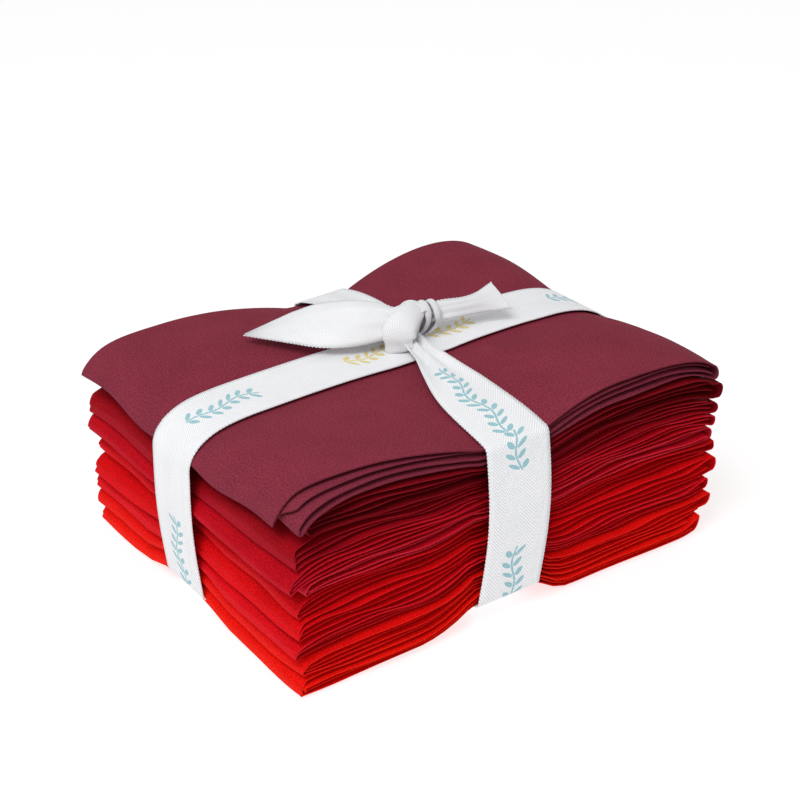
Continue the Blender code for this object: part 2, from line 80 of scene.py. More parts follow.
# A pair's fullness inside and at its crease in front, and how far from the crease it is pressed flat
FULL, PRESSED, PRESS_DEPTH = 0.9, 0.22, 5 * MM
CREASE_RISE = 0.5    # the crease lies nearer to the pair's upper layer
LOBE_BLUNTNESS, LOBE_SHARE = 0.75, 0.7    # of the folds at the right, where 1 and 1 make a half circle
FOLD_STEPS, WIDE_STEPS, HAIRPIN_STEPS = 8, 18, 8
GROOVE_ANGLE, GROOVE_SPREAD = 1.8, 0.24    # of the groove in a left fold, in radians round it

# The order in which the pairs of layers lie, from the inner free edge to the outer one, counted in
# pairs from the middle of the cloth
WRAPPED, TURNED, COVERED = (-0.5, 0.5, -1.5, 1.5), (0.5, -0.5, 1.5, -1.5), (-0.5, -1.5, 1.5, 0.5)
TUCK = 4 * MM    # how far the lower of two left folds is tucked in under the upper one

# Lowest first. Heights and reaches past the nominal outline in mm, skew in mm over half the depth, how
# far the tips of the left and right folds hang, as shares of half their height, how deep the left one's
# groove is, as a share of its reach, the order of the layers, the cloth's colour and the colour painted
# on its folds' crests, which is part wear and part painted highlight.
FAT_QUARTER_COLUMNS = ("height", "left", "right", "front", "back", "skew", "sag", "right_sag", "groove",
                       "order", "colour", "crest_wear_and_highlight")
FAT_QUARTERS = (
    (7.4, 0.6, -5.6, 2.6, 0.3, 0.0, 0.85, -0.75, 0.25, WRAPPED, (228, 14, 5), (248, 54, 34)),
    (7.4, 0.2, -0.8, 1.8, -0.4, -0.4, 0.5, -0.2, 0.0, TURNED, (222, 10, 8), (244, 46, 38)),
    (7.0, 0.9, 0.0, 0.4, 0.5, 0.5, 0.3, 0.1, 0.26, WRAPPED, (206, 6, 20), (232, 42, 54)),
    (9.0, 0.4, 2.2, 0.6, -0.2, -0.5, 0.4, 0.2, 0.36, WRAPPED, (206, 4, 11), (234, 30, 40)),
    (7.2, -1.8, 4.2, -0.5, 0.4, 0.6, 0.2, 0.0, 0.16, TURNED, (198, 3, 13), (228, 32, 46)),
    (6.0, -3.6, 0.6, 0.3, -0.5, -0.3, 0.4, 0.15, 0.0, WRAPPED, (192, 9, 34), (222, 60, 78)),
    (6.0, 1.9, 2.4, 0.0, 0.4, 0.4, 0.3, 0.1, 0.28, TURNED, (178, 3, 22), (208, 40, 60)),
    (6.2, -0.6, 3.3, -0.6, -0.3, -0.6, 0.4, 0.2, 0.34, WRAPPED, (152, 4, 20), (178, 32, 50)),
    (10.2, -6.5, 4.4, 0.5, 0.5, -1.0, 0.3, 0.1, 0.0, WRAPPED, (116, 4, 16), (140, 24, 38)),
    (7.6, 1.4, 2.9, 0.4, -0.3, 0.0, 0.2, 0.1, 0.0, COVERED, (127, 45, 61), (118, 46, 62)),
)
# The top cloth's front draws back toward its left corner. At the corner its pairs, in the order above,
# are let out again by these shares: the lower two fully, the top one not, and the second one in part,
# except near the fold that it shares with the top one.
TOP_SETBACK, SETBACK_START, SETBACK_POWER = 8.6 * MM, 15 * MM, 0.8
CORNER_SHARES, CORNER_POWER = (1.15, 1.3, 0.0, 0.7), 1.3
SECOND_START, SECOND_FADE = 3.6 * MM, 5 * MM
CORNER_BACK, CORNER_BACK_POWER = {9: 4.5 * MM, 8: 1.6 * MM}, 1.5    # of the two cloths below it
THIN, THIN_TOP = 0.3, 0.2    # the top cloth's pairs are thinner, its upper one more, so gaps show
# The ninth cloth's left fold is set back, and the eighth's swells up in front of it
SWOLLEN, SWELL, SWELL_LENGTH = 8, 2.6 * MM, 14 * MM
# The top cloth's left lip hangs over it: fully in front, in part in the middle and least behind
HANG, HANG_START, HANG_LENGTH = 3.8 * MM, -83 * MM, 11 * MM
HANG_MIDDLE, HANG_LEAN = 0.75, 0.6

# Long soft waves that lift and sink the layers inside the pile: the amount in mm, the wavelengths in x
# and y in mm and in the pile's height as a share of it, and the start in turns
WAVES = ((0.42, 64, 92, 0.24, 0.1), (0.28, 37, 58, 0.15, 0.4), (0.14, 21, 33, 0.10, 0.7))
WAVE_EASE = 6    # they fade out over 1 / WAVE_EASE of the height, below and above

# Soft creases in the upper side: the turn in degrees, the others in mm
CREASE_COLUMNS = ("x", "y", "turn", "length", "width", "rise")
CREASES = (
    (-26, -22, 24, 20, 3.2, -0.55),
    (-44, -20, 8, 26, 5.0, 0.45),
    (-20, -40, 68, 20, 4.5, 0.35),
    (34, -26, -22, 22, 4.0, 0.45),
    (30, -16, -6, 20, 3.0, -0.40),
    (60, -30, 84, 26, 7.0, -0.35),
    (-64, -46, 78, 30, 8.0, -0.30),
    (-46, 34, -30, 24, 6.0, 0.50),
    (-30, 48, -64, 20, 5.0, -0.35),
    (46, 40, 38, 24, 6.0, 0.40),
    (66, 50, 80, 22, 7.0, -0.35),
)


def rows_of(columns, rows):
    return [dict(zip(columns, row)) for row in rows]


pieces = rows_of(FAT_QUARTER_COLUMNS, FAT_QUARTERS)
pile_height = sum(piece["height"] for piece in pieces)
spans = []    # of each cloth, in shares of the pile's height
for piece in pieces:
    bottom = spans[-1][1] if spans else -PLY_GAP / 2
    spans.append((bottom, bottom + piece["height"] / pile_height))


def smooth(table, at):
    """A smooth curve through a table's rows: the first column is the place, the others the values there."""
    table = np.asarray(table, float)
    place, value = table[:, 0], table[:, 1:]
    slope = np.gradient(value, place, axis=0)
    at = np.clip(np.asarray(at, float), place[0], place[-1])
    low = np.clip(np.searchsorted(place, at) - 1, 0, len(place) - 2)
    gap = (place[low + 1] - place[low])[..., None]
    t = (at - place[low])[..., None] / gap
    start = value[low] * (1 + 2 * t) * (1 - t) ** 2 + slope[low] * gap * t * (1 - t) ** 2
    end = value[low + 1] * t * t * (3 - 2 * t) - slope[low + 1] * gap * t * t * (1 - t)
    total = start + end
    return total[..., 0] if value.shape[1] == 1 else total


def bed(distance, left_fade, right_fade):
    """1 under the tape, then falling to 0 as the side of a dome does, steepest at the tape's edge."""
    fade = np.where(distance < 0, left_fade, right_fade)
    share = np.clip((np.abs(distance) - TAPE_HALF_BED) / fade, 0, 1)
    return (1 - share) ** 2


def across_x(y, level):
    """Middle of the tape that runs across, at a depth and a level of the pile."""
    under = ACROSS_UNDER_X * np.clip(y / HALF_DEPTH, -1, 1)
    return under + (smooth(ACROSS_COURSE, y / MM) * MM - under) * np.clip(level, 0, 1)


def creases(x, y):
    total = 0.0
    for row in rows_of(CREASE_COLUMNS, CREASES):
        turned = math.radians(row["turn"])
        dx, dy = x / MM - row["x"], y / MM - row["y"]
        ahead = (dx * math.cos(turned) + dy * math.sin(turned)) / row["length"]
        aside = (dy * math.cos(turned) - dx * math.sin(turned)) / row["width"]
        total = total + row["rise"] * MM * np.exp(-ahead * ahead - aside * aside)
    return total


def upper_side(x, y):
    """Height of the pile's upper side: four puffs that droop at their ends, and the tapes' troughs."""
    out, deep = x / HALF_LENGTH, y / HALF_DEPTH
    puff = CROWN + CROWN_RISE_X * np.maximum(out, 0) - CROWN_FALL_Y * deep
    right_droop = np.clip(out, 0, 1) ** RIGHT_SHARPNESS + RIGHT_BEYOND * np.maximum(out - 1, 0)
    droop = np.where(x < 0, LEFT_DROOP * np.abs(out) ** LEFT_SHARPNESS, RIGHT_DROOP * right_droop)
    droop = droop + np.where(y < 0, FRONT_DROOP, BACK_DROOP) * np.abs(deep) ** EDGE_SHARPNESS
    press = ACROSS_PRESS + np.where(y < 0, FRONT_PRESS_END, BACK_PRESS_END) * np.abs(deep) ** PRESS_POWER
    right_fade = RIGHT_FRONT_FADE + (RIGHT_BACK_FADE - RIGHT_FRONT_FADE) * np.clip(0.5 + 0.5 * deep, 0, 1)
    along = (ALONG_PRESS + ALONG_PRESS_END * out ** 2) * bed(y - ALONG_Y, ALONG_FADE, ALONG_FADE)
    across = press * bed(x - across_x(y, 1), LEFT_FADE, right_fade)
    return puff - droop - np.hypot(along, across) + creases(x, y)


def under_side(x, y):
    """Height of the pile's underside: flat, but for the tapes' troughs and the lifted right end."""
    press_x = UNDER_PRESS + UNDER_END_X * (np.abs(x) / HALF_LENGTH) ** UNDER_POWER_X
    press_y = UNDER_PRESS + UNDER_END_Y * (np.abs(y) / HALF_DEPTH) ** UNDER_POWER_Y
    curl = RIGHT_CURL * np.maximum(0, (x - CURL_START) / (HALF_LENGTH - CURL_START)) ** 2
    along = press_x * bed(y - ALONG_Y, UNDER_FADE, UNDER_FADE)
    across = press_y * bed(x - across_x(y, 0), UNDER_FADE, UNDER_RIGHT_FADE)
    return (curl ** JOIN_POWER + along ** JOIN_POWER + across ** JOIN_POWER) ** (1 / JOIN_POWER)


def lie(x, y, level):
    """Height at which a level of the pile lies."""
    waver = 0.0
    for amount, length, depth, height, start in WAVES:
        turns = x / MM / length + y / MM / depth + level / height + start
        waver = waver + amount * MM / CROWN * np.sin(2 * np.pi * turns)
    waver = waver * np.clip(WAVE_EASE * level, 0, 1) * np.clip(WAVE_EASE * (1 - level), 0, 1)
    swell = SWELL / CROWN * np.exp(-np.maximum(x + HALF_LENGTH, 0) / SWELL_LENGTH)
    swell = swell * np.interp(level, (*spans[SWOLLEN - 1], spans[SWOLLEN][1]), (0, 1, 0))
    hang = np.clip((HANG_START - x) / HANG_LENGTH, 0, 1) ** 2
    hang = hang * np.clip(HANG_MIDDLE - HANG_LEAN * y / HALF_DEPTH, 0, 1)
    hang = HANG / CROWN * hang * (1 - bed(y - ALONG_Y, ALONG_FADE / 2, ALONG_FADE / 2))
    hang = hang * np.interp(level, spans[SWOLLEN], (0, 1))
    low = under_side(x, y)
    return low + (level + waver + swell - hang) * (upper_side(x, y) - low)


def lip_pinch(y):
    """How far the tape draws the X ends in."""
    return LIP_PINCH * bed(y - ALONG_Y, ALONG_FADE, ALONG_FADE)


def right_end(piece, y, level):
    """Where a cloth's right fold ends: its own reach, but inside the tape's bow where that passes."""
    own, lowest, highest = piece["right"] * MM, pieces[0]["right"] * MM, pieces[-1]["right"] * MM
    course = lowest + (highest - lowest) * level + RIGHT_BOW * math.sin(math.pi * level) - TAPE_ROOM
    pressed = min(course - own, 0) * bed(y - ALONG_Y, RIGHT_GIVE, RIGHT_GIVE)
    return HALF_LENGTH + own + (pressed if 0 < pieces.index(piece) < len(pieces) - 1 else 0)


def end_y(sign, x, level, reach):
    """Depth at which a layer ends, in front (sign -1) or behind (sign 1)."""
    drawn = END_PINCH + END_PINCH_MIDDLE * np.sin(np.pi * np.clip(level, 0, 1))
    pinch = drawn * bed(x - across_x(sign * HALF_DEPTH, level), UNDER_FADE, UNDER_FADE)
    return sign * (HALF_DEPTH + reach - pinch)


def run(ply, levels, start, end, half, count):
    """Stations along one pair of layers, closer together near its folds, where its level changes from its
    own to its folds'. Each is a share of the way from the left fold to the right one, a shift from there,
    a level, the shift and level from there to the first face, the pair, and how near a fold's crest it is.
    """
    travel = 1 if end[0] > start[0] else -1
    first, own, last = levels
    stations = []
    for step in np.linspace(0, 1, count):
        t = step - STATION_BUNCH * math.sin(2 * math.pi * step)
        near_first, near_last = max(0, 1 - t / FOLD_REACH), max(0, 1 - (1 - t) / FOLD_REACH)
        level = own + (first - own) * near_first ** 2 + (last - own) * near_last ** 2
        share, shift = (one + (other - one) * t for one, other in zip(start, end))
        stations.append((share, shift, level, 0, travel * half, ply, 0))
    return stations


def turn(ply, share, shift, levels, travel, reach, sag, groove, half):
    """Stations round the fold from one pair of layers to the next, its tip hanging a little."""
    centre, span = (levels[0] + levels[1]) / 2, (levels[0] - levels[1]) / 2
    outward = math.copysign(half, span)
    side = -1 if travel * span < 0 else 1
    count = WIDE_STEPS if abs(span) > 2 * half + PLY_GAP else HAIRPIN_STEPS
    stations = []
    for index in range(1, count):
        angle = math.pi * index / count
        level = centre + span * math.cos(angle) - abs(span) * sag * math.sin(angle)
        out = math.sin(angle) ** (LOBE_BLUNTNESS if share else 1)
        out = out * (1 - groove * math.exp(-((angle - GROOVE_ANGLE) / GROOVE_SPREAD) ** 2))
        stations.append((share, shift + travel * (reach - PLY_THICK / 2) * out,
                         max(level, centre - abs(span)), side * travel * PLY_THICK / 2 * math.sin(angle),
                         side * outward * math.cos(angle), ply + index / count, math.sin(angle)))
    return stations


def folded_path(piece, low, high, count):
    """The stations of a whole fat quarter, from its inner cut edge to its outer one, both at the right."""
    middle, pitch = (low + high) / 2, (high - low) / PLIES
    half = (pitch - PLY_GAP) / 2
    own = [middle + pitch * place for place in piece["order"]]
    covered = piece["order"] is COVERED
    flare = 0 if covered else RIGHT_FLARE * (own[3] - own[1])
    left = [own[2] + LIP_PRESS * (own[3] - own[2]), own[3] + LIP_PRESS * (own[2] - own[3])]
    right = [own[1] + flare, own[2]]
    inner_reach, right_reach, left_reach = [(abs(one - other) * CROWN + PLY_THICK) / 2
                                            for one, other in (own[0:2], right, left)]
    right_reach = right_reach * LOBE_SHARE
    nest = (0, inner_reach + TUCK if covered else left_reach - NEST_SHARE * (pitch * CROWN - PLY_THICK))
    tip, bend = (0, left_reach), (1, -right_reach)
    inner_edge = (1, -right_reach - INNER_EDGE_SETBACK)
    outer_edge = (1, -right_reach - (INNER_EDGE_SETBACK if covered else OUTER_EDGE_SETBACK))
    path = run(0, [own[0]] * 3, inner_edge, nest, half, count)
    path += turn(0, *nest, own[0:2], -1, inner_reach, 0, 0, half)
    path += run(1, (own[1], own[1], right[0]), nest, bend, half, count)
    path += turn(1, *bend, right, 1, right_reach, piece["right_sag"], 0, half)
    path += run(2, (right[1], own[2], left[0]), bend, tip, half, count)
    path += turn(2, *tip, left, -1, left_reach, piece["sag"], piece["groove"], half)
    path += run(3, (left[1], own[3], own[3]), tip, outer_edge, half, count)
    return np.array(path, float)


def cloth(name, patches, finish, thickness, offset):
    """An object of one or more patches of cloth. A patch is a grid of points, their places along and across
    the cloth, which become the UV map, and a mark for each; one more row of places closes it to a loop.
    """
    points, faces, places, marks, first = [], [], [], [], 0
    for patch in patches:
        rows, columns = patch["points"].shape[:2]
        number = first + np.arange(rows * columns).reshape(rows, columns)
        if len(patch["along"]) > rows:
            number = np.vstack([number, number[:1]])
        uv = np.stack([patch["along"], patch["across"]], axis=-1)
        for grid, kept in ((number, faces), (uv, places)):
            corners = [grid[:-1, :-1], grid[:-1, 1:], grid[1:, 1:], grid[1:, :-1]]
            kept.append(np.stack(corners, axis=2).reshape(-1, 4, *grid.shape[2:]))
        points.append(patch["points"].reshape(-1, 3) + CENTRE)
        marks.append(np.broadcast_to(patch["mark"], (rows, columns)).ravel())
        first += rows * columns
    mesh = bpy.data.meshes.new(name)
    mesh.from_pydata(np.concatenate(points).tolist(), [], np.concatenate(faces).tolist())
    mesh.uv_layers.new(name="cloth").data.foreach_set("uv", np.concatenate(places).astype("f").ravel())
    mesh.attributes.new("mark", "FLOAT", "POINT").data.foreach_set("value", np.concatenate(marks).astype("f"))
    mesh.shade_smooth()
    mesh.materials.append(finish)
    made = bpy.data.objects.new(name, mesh)
    bpy.context.scene.collection.objects.link(made)
    wall = made.modifiers.new("thickness", "SOLIDIFY")
    wall.thickness = thickness
    wall.offset = offset
    return made


class Wire:
    """A socket of a node tree. Its operators add Math nodes, and node() adds any other."""

    def __init__(self, tree, socket=None):
        self.tree = tree
        self.socket = socket

    def node(self, kind, settings=None, values=None, output=0):
        """Adds a node, sets its settings, then its sockets to values or links, and gives one output."""
        made = self.tree.nodes.new(kind)
        for name, value in (settings or {}).items():
            setattr(made, name, value)
        for name, value in (values or {}).items():
            if isinstance(value, Wire):
                self.tree.links.new(value.socket, made.inputs[name])
            else:
                made.inputs[name].default_value = value
        return Wire(self.tree, made.outputs[output])

    def math(self, operation, *values):
        settings = {"operation": operation}
        return self.node("ShaderNodeMath", settings, dict(enumerate(values)))

    def __add__(self, other):
        return self.math("ADD", self, other)

    def __sub__(self, other):
        return self.math("SUBTRACT", self, other)

    def __mul__(self, other):
        return self.math("MULTIPLY", self, other)

    def __rsub__(self, other):
        return self.math("SUBTRACT", other, self)

    __radd__ = __add__
    __rmul__ = __mul__

    def __abs__(self):
        return self.math("ABSOLUTE", self)

    def sine(self):
        return self.math("SINE", self)

    def between(self, low, high):
        """From 0 at low to 1 at high, smooth in between, where low may be above high."""
        settings = {"interpolation_type": "SMOOTHSTEP"}
        return self.node("ShaderNodeMapRange", settings, {"Value": self, "From Min": low, "From Max": high})

    def mix(self, first, second):
        """Colours mixed by this factor."""
        settings = {"data_type": "RGBA", "blend_type": "MIX", "clamp_factor": True}
        factor, one, other = 0, 6, 7
        return self.node("ShaderNodeMix", settings, {factor: self, one: first, other: second}, output=2)

    def noise(self, scale, detail=2.0, roughness=0.5, stretch=None):
        """A noise over this place, 0 to 1; stretch multiplies the place first, by axis."""
        place = self
        if stretch:
            place = self.node("ShaderNodeVectorMath", {"operation": "MULTIPLY"}, {0: self, 1: stretch})
        values = {"Vector": place, "Scale": scale, "Detail": detail, "Roughness": roughness}
        return place.node("ShaderNodeTexNoise", {"normalize": True}, values)


def linear(colour):
    """A colour in 0 to 255, as a screen shows it, in the light's own scale."""
    shares = [part / 255 for part in colour]
    return (*[s / 12.92 if s <= 0.04045 else ((s + 0.055) / 1.055) ** 2.4 for s in shares], 1)


def new_material(name):
    """A material, its shader and a wire to start from."""
    made = bpy.data.materials.new(name)
    made.use_nodes = True
    tree = made.node_tree
    return made, tree.nodes["Principled BSDF"], Wire(tree)


def feed(shader, socket, wire):
    wire.tree.links.new(wire.socket, shader.inputs[socket])


def place_on_cloth(start):
    """The place on the cloth, with its parts along and across the cloth."""
    place = start.node("ShaderNodeUVMap", {"uv_map": "cloth"})
    parts = [place.node("ShaderNodeSeparateXYZ", values={0: place}, output=axis) for axis in (0, 1)]
    return place, *parts


THREAD = 0.42 * MM    # from one thread to the next
THREAD_ACROSS, THREAD_ALONG = 2400, 90    # scales of the threads' unevenness
SPECKLE_SCALE, MOTTLE_SCALE = 1600, 45
THREAD_TONE, SPECKLE_TONE, MOTTLE_TONE = 0.5, 3.4, 0.45    # how much each one changes the colour
DARK, LIGHT, LIGHT_ADDED = 0.68, 1.30, 0.002    # the colour's darkest and lightest, of the cloth's own
# The paler crest colour, part wear and part painted highlight: where it starts on the mark, evenly and by
# speckle
WEAR_AND_HIGHLIGHT_FROM, WEAR_AND_HIGHLIGHT_EVEN, WEAR_AND_HIGHLIGHT_SPECKLED, SPECKLE_LOW = 0.55, 0.35, 0.9, 0.35
PILLOW_RELIEF, THREAD_RELIEF = 0.6, 0.5
COTTON_ROUGHNESS, ROUGHNESS_SPREAD = 0.82, 0.12


def cotton(name, colour, crest_wear_and_highlight):
    """Plain weave with uneven threads, speckled, paler on its folds' crests: wear and painted highlight."""
    made, shader, start = new_material(name)
    place, along, across = place_on_cloth(start)
    pillow = abs((along * (math.pi / THREAD)).sine() * (across * (math.pi / THREAD)).sine())
    warp = place.noise(1, roughness=0.6, stretch=(THREAD_ALONG, THREAD_ACROSS, 1))
    weft = place.noise(1, roughness=0.6, stretch=(THREAD_ACROSS, THREAD_ALONG, 1))
    speckle = place.noise(SPECKLE_SCALE, roughness=0.85)
    mottle = place.noise(MOTTLE_SCALE, detail=3)
    tone = (warp + weft - 1) * THREAD_TONE + (speckle - 0.5) * SPECKLE_TONE + (mottle - 0.5) * MOTTLE_TONE
    own = linear(colour)[:3]
    dark = [*(DARK * part for part in own), 1]
    light = [*(LIGHT * part + LIGHT_ADDED for part in own), 1]
    ground = (tone + 0.5).between(0.0, 1.0).mix(dark, light)
    # The folds' crests get a paler colour: part wear, part painted highlight.
    mark = start.node("ShaderNodeAttribute", {"attribute_name": "mark"}, output=2)
    wear_and_highlight = mark.between(WEAR_AND_HIGHLIGHT_FROM, 1.0) * (WEAR_AND_HIGHLIGHT_EVEN + WEAR_AND_HIGHLIGHT_SPECKLED * (speckle - SPECKLE_LOW))
    feed(shader, "Base Color", wear_and_highlight.mix(ground, linear(crest_wear_and_highlight)))
    feed(shader, "Roughness", COTTON_ROUGHNESS + ROUGHNESS_SPREAD * (speckle - 0.5))
    height = pillow * PILLOW_RELIEF + (warp + weft) * THREAD_RELIEF
    relief = height.node("ShaderNodeBump", values={"Strength": 0.35, "Distance": 0.12 * MM, "Height": height})
    feed(shader, "Normal", relief)
    shader.inputs["Sheen Weight"].default_value = 0.05
    shader.inputs["Sheen Roughness"].default_value = 0.4
    shader.inputs["Sheen Tint"].default_value = linear(crest_wear_and_highlight)
    shader.inputs["Specular IOR Level"].default_value = 0.06
    return made


SEED = 41
FINE_COUNT, COARSE_COUNT = 62, 52    # stations along a pair of layers, in the top cloth and in the others
# Places from the back to the front of a pair, in mm of its depth. The top cloth has some near its ends,
# and then evenly, from the first place of FINE_EVEN to the second, as many as its third value.
DEPTH = 152
COARSE_DEPTHS = (0, 1, 3, 7, 13, 21, 31, 43, 55, 67, 79, 91, 103, 114, 124, 132, 138, 142.5, 145.8, 148.2,
                 150, 151.2, DEPTH)
FINE_ENDS, FINE_EVEN = (0, 0.8, 2, 3.6, 5.8), (9, 143, 46)
UNEVEN, UNEVEN_TOP = 0.12, 0.5    # how far a pair lies off its even level, in pairs; less in the top cloth
# What differs by chance, in mm: the least and the most of each
RIPPLE, RIPPLE_LENGTH, SETBACK, CUT_BACK = (0.15, 0.4), (45, 80), (0, 2.0), (-0.6, 1.6)
FRONT_WAVE, WAVE_LENGTH = 0.4 * MM, (50, 120)
TOP_SETBACKS = (0.8, 0.2, 1.2, 1.8)    # of the top cloth's pairs, in mm
CREST_MARK = 0.85    # how much of the crests' wear and painted highlight the folds at the sides get, where the front ones get 1


def depths(fine):
    """Shares of the way from the back to the front."""
    if fine:
        ends = np.array(FINE_ENDS) / DEPTH
        return np.concatenate([ends, np.linspace(*FINE_EVEN) / DEPTH, 1 - ends[::-1]])
    return np.array(COARSE_DEPTHS) / DEPTH


def fat_quarter(number, piece, low, high):
    chance = np.random.default_rng(SEED + number)
    fine = number == len(FAT_QUARTERS)
    path = folded_path(piece, low, high, FINE_COUNT if fine else COARSE_COUNT)
    share, shift, level, face_shift, face_level, ply, crest = (column[:, None] for column in path.T)
    ripple_size, ripple_length = chance.uniform(*RIPPLE) * MM, chance.uniform(*RIPPLE_LENGTH) * MM
    ripple_start = chance.random()
    setbacks = chance.uniform(*SETBACK, PLIES) * MM
    setbacks = setbacks - setbacks.min()
    wave_lengths, wave_starts = chance.uniform(*WAVE_LENGTH, PLIES) * MM, chance.random(PLIES)
    lifts = chance.uniform(-1, 1, PLIES) * UNEVEN * (high - low) / PLIES
    cut_backs = chance.uniform(*CUT_BACK, (2, PLIES)) * MM
    if fine:
        setbacks = np.array(TOP_SETBACKS) * MM
        lifts = lifts * UNEVEN_TOP

    def by_ply(values):
        return np.interp(ply, range(PLIES), values)

    def place(y):
        """Where the stations lie along X at a depth, from the left and right folds' crests there."""
        pinch = lip_pinch(y)
        lean = piece["skew"] * MM * y / HALF_DEPTH
        ripple = ripple_size * np.sin(2 * np.pi * (y / ripple_length + ripple_start))
        left = -(HALF_LENGTH + piece["left"] * MM - pinch) + lean + ripple
        right = right_end(piece, y, (low + high) / 2) - pinch + lean + ripple
        return left + share * (right - left) + shift

    level = level + by_ply(lifts)
    front_x, back_x = place(-HALF_DEPTH), place(HALF_DEPTH)
    wave = FRONT_WAVE * np.sin(2 * np.pi * (front_x / by_ply(wave_lengths) + by_ply(wave_starts)))
    front = end_y(-1, front_x, level, piece["front"] * MM) + by_ply(setbacks) + wave
    toward_corner = np.clip((-front_x - SETBACK_START) / (HALF_LENGTH - SETBACK_START), 0, 1) ** SETBACK_POWER
    drawn = CORNER_BACK.get(number, 0) * np.clip((level - low) / (high - low), 0, 1) ** CORNER_BACK_POWER
    if fine:
        from_lip = np.clip(0.5 + (SECOND_START - front_x - HALF_LENGTH) / SECOND_FADE, 0, 1)
        from_lip = from_lip * from_lip * (3 - 2 * from_lip)
        share_kept = by_ply(CORNER_SHARES) * np.where(ply < 2, 1, 1 - from_lip)
        drawn = TOP_SETBACK * (1 - share_kept * toward_corner ** CORNER_POWER)
    front = front + drawn * toward_corner
    shares = depths(fine)[None, :]
    thin = 1 - THIN - THIN_TOP * np.clip(1 - np.abs(ply - 2), 0, 1) if fine else 1
    faces = []
    for side, sign in ((0, 1), (1, -1)):
        back = end_y(1, back_x, level, piece["back"] * MM) - by_ply(cut_backs[side])
        y = back + (front + FOLD_DEPTH - back) * shares
        puff = (FULL - (FULL - PRESSED) * np.exp((front + FOLD_DEPTH - y) / PRESS_DEPTH)) * thin
        rise = CREASE_RISE * (FULL - puff) * np.abs(face_level)
        faces.append((place(y) + sign * puff * face_shift, y, level + sign * puff * face_level + rise))
    (x_a, y_a, level_a), (x_b, y_b, level_b) = faces
    angle = np.linspace(0, np.pi, FOLD_STEPS + 1)[None, 1:-1]
    fold_x, fold_level = ((one + other) / 2 + (one - other) / 2 * np.cos(angle) for one, other in (
        (x_a[:, -1:], x_b[:, -1:]), (level_a[:, -1:], level_b[:, -1:])))
    fold_y = front + FOLD_DEPTH * (1 - np.sin(angle))
    x = np.hstack([x_a, fold_x, x_b[:, ::-1]])
    y = np.hstack([y_a, fold_y, y_b[:, ::-1]])
    levels = np.hstack([level_a, fold_level, level_b[:, ::-1]])
    points = np.stack([x, y, lie(x, y, levels)], axis=-1)
    steps = [np.linalg.norm(np.diff(points, axis=axis), axis=2).mean(axis=1 - axis) for axis in (0, 1)]
    along, across = np.meshgrid(*[np.append(0, np.cumsum(sizes)) for sizes in steps], indexing="ij")
    front_crest = np.hstack([0 * x_a, np.sin(angle) + 0 * fold_x, 0 * x_b])
    # The mark carries where the crest colour, part wear and part painted highlight, is painted.
    mark = np.maximum(front_crest, CREST_MARK * crest)
    name = f"folded_cotton_{number:02d}"
    finish = cotton(f"cotton_{number:02d}", piece["colour"], piece["crest_wear_and_highlight"])
    patch = {"points": points, "along": along, "across": across, "mark": mark}
    made = cloth(name, [patch], finish, CLOTH_THICK, -1)
    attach(made, "root")
    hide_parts(f"fat_quarter_{number:02d}")
    under = f"folded_cotton_{number - 1:02d}" if number > 1 else "floor"


for number, (piece, span) in enumerate(zip(pieces, spans), 1):
    fat_quarter(number, piece, *span)

# --------------------------------------------------------------------------------------------------
# The tape. One length of white cotton twill tape, 27 mm wide, in herringbone weave. It runs round the
# pile both ways, is gathered into a knot on top, and ends in two free tails cut aslant.
# --------------------------------------------------------------------------------------------------
TAPE_WIDTH, TAPE_LENGTH, TAPE_THICK = 27 * MM, 1.25, 0.55 * MM
TAPE_LIFT = 0.7 * MM    # from the top cloth to the middle of the tape
TOP_STEPS, UNDER_STEPS, FACE_STEPS, BEND_STEPS = 90, 44, 36, 7
BEND_INSET, BEND_RADIUS = 1.6 * MM, 2.7 * MM    # in front and behind
CROSSING_DROP = 0.45 * MM    # of the tape that runs across, under the other one
FRONT_LEAN = 0.6 * MM    # the upper layers' folds stand a little behind the lower ones
LEFT_BOW, FRONT_BOW_X, FRONT_BOW = 1.3 * MM, 2.2 * MM, 0.7 * MM    # it bows a little between its bends
# The tape that runs across, on top: y, width and lift above the cloth in mm
ACROSS_GATHER = ((-76, 27, 0.7), (-60, 26.5, 0.7), (-42, 23, 0.9), (-26, 16, 1.6), (-14, 10.5, 3.0),
                 (2, 9, 4.0), (16, 11, 3.2), (28, 14, 2.0), (44, 17, 1.2), (58, 19, 0.9), (76, 21, 0.7))
GATHER_PLEAT, GATHER_PLEATS = 2.0 * MM, 2

KNOT_X, KNOT_Y = 10 * MM, 2 * MM
CORE = np.array((9.0, 7.0, 3.0)) * MM    # of the knot, above the tape under it
